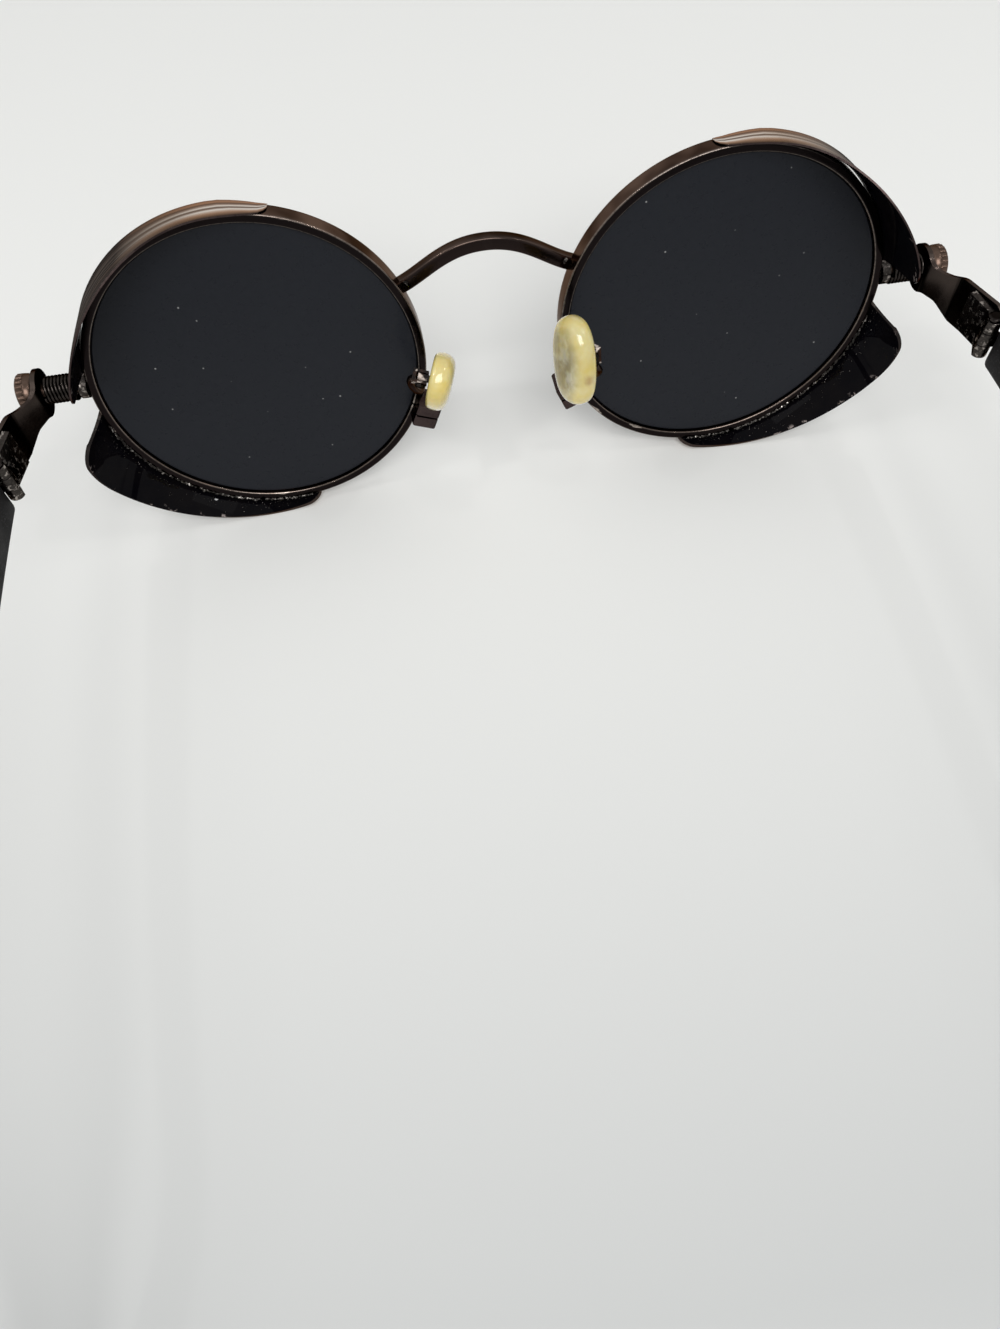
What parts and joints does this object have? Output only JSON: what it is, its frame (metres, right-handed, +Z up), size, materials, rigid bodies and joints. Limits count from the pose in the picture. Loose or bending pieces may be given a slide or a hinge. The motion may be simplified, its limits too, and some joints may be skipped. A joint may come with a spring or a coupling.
{
  "type": "sunglasses",
  "caption": "Round metal sunglasses with curved sheet side shields, sprung knurled thumb screws, rocking nose pads and folding temples.",
  "frame": {"origin": "on the table under the middle of the glasses' bounding box, temples open", "axes": "+X to the wearer's left, +Y from the lenses back along the temples, +Z up from the table"},
  "size_m": [0.1526, 0.1539, 0.0538],
  "materials": {
    "brown_gunmetal": "glossy dark brown gunmetal plating",
    "shield_black": "gloss black",
    "lens_grey": "dark neutral grey tint",
    "dark_steel": "darkened steel",
    "sleeve_black": "matte black, finely speckled",
    "pad_silicone": "translucent yellowed silicone"
  },
  "bodies": {
    "front": {"bottom_shield_left": "shield_black", "bottom_shield_right": "shield_black", "bridge": "brown_gunmetal", "coil_spring_left": "dark_steel", "coil_spring_right": "dark_steel", "end_lug_left": "brown_gunmetal", "end_lug_right": "brown_gunmetal", "hinge_front_leaf_left": "brown_gunmetal", "hinge_front_leaf_right": "brown_gunmetal", "hinge_screw_left": "dark_steel", "hinge_screw_right": "dark_steel", "lens_left": "lens_grey", "lens_right": "lens_grey", "pad_arm_left": "brown_gunmetal", "pad_arm_right": "brown_gunmetal", "pad_box_left": "brown_gunmetal", "pad_box_right": "brown_gunmetal", "pad_screw_left": "dark_steel", "pad_screw_right": "dark_steel", "rim_left": "brown_gunmetal", "rim_lock_lower_left": "brown_gunmetal", "rim_lock_lower_right": "brown_gunmetal", "rim_lock_screw_left": "dark_steel", "rim_lock_screw_right": "dark_steel", "rim_lock_upper_left": "brown_gunmetal", "rim_lock_upper_right": "brown_gunmetal", "rim_right": "brown_gunmetal", "temple_plate_left": "brown_gunmetal", "temple_plate_right": "brown_gunmetal", "top_shield_left": "shield_black", "top_shield_right": "shield_black"},
    "temple_left": {"temple_core_left": "brown_gunmetal", "temple_sleeve_left": "sleeve_black"},
    "temple_right": {"temple_core_right": "brown_gunmetal", "temple_sleeve_right": "sleeve_black"},
    "pad_left": {"nose_pad_left": "pad_silicone", "pad_insert_left": "dark_steel"},
    "pad_right": {"nose_pad_right": "pad_silicone", "pad_insert_right": "dark_steel"},
    "knob_left": {"thumb_screw_left": "brown_gunmetal"},
    "knob_right": {"thumb_screw_right": "brown_gunmetal"}
  },
  "joints": [
    {"name": "temple_fold_left", "type": "hinge", "parent": "front", "child": "temple_left", "pos_m": [0.07236, -0.05547, 0.02766], "axis": [0, 0, 1], "range_deg": [0, 88]},
    {"name": "temple_fold_right", "type": "hinge", "parent": "front", "child": "temple_right", "pos_m": [-0.07236, -0.05547, 0.02766], "axis": [0, 0, -1], "range_deg": [0, 82]},
    {"name": "pad_rock_left", "type": "hinge", "parent": "front", "child": "pad_left", "pos_m": [0.01179, -0.06229, 0.02888], "axis": [0.3746, 0.7405, -0.558], "range_deg": [-10, 10]},
    {"name": "pad_rock_right", "type": "hinge", "parent": "front", "child": "pad_right", "pos_m": [-0.01279, -0.05965, 0.03102], "axis": [-0.3746, 0.8535, 0.3623], "range_deg": [-10, 10]},
    {"name": "thumb_screw_turn_left", "type": "hinge", "parent": "front", "child": "knob_left", "pos_m": [0.0358, -0.07123, 0.02826], "axis": [1, 0, 0], "continuous": true},
    {"name": "thumb_screw_turn_right", "type": "hinge", "parent": "front", "child": "knob_right", "pos_m": [-0.0358, -0.07123, 0.02826], "axis": [1, 0, 0], "continuous": true}
  ]
}
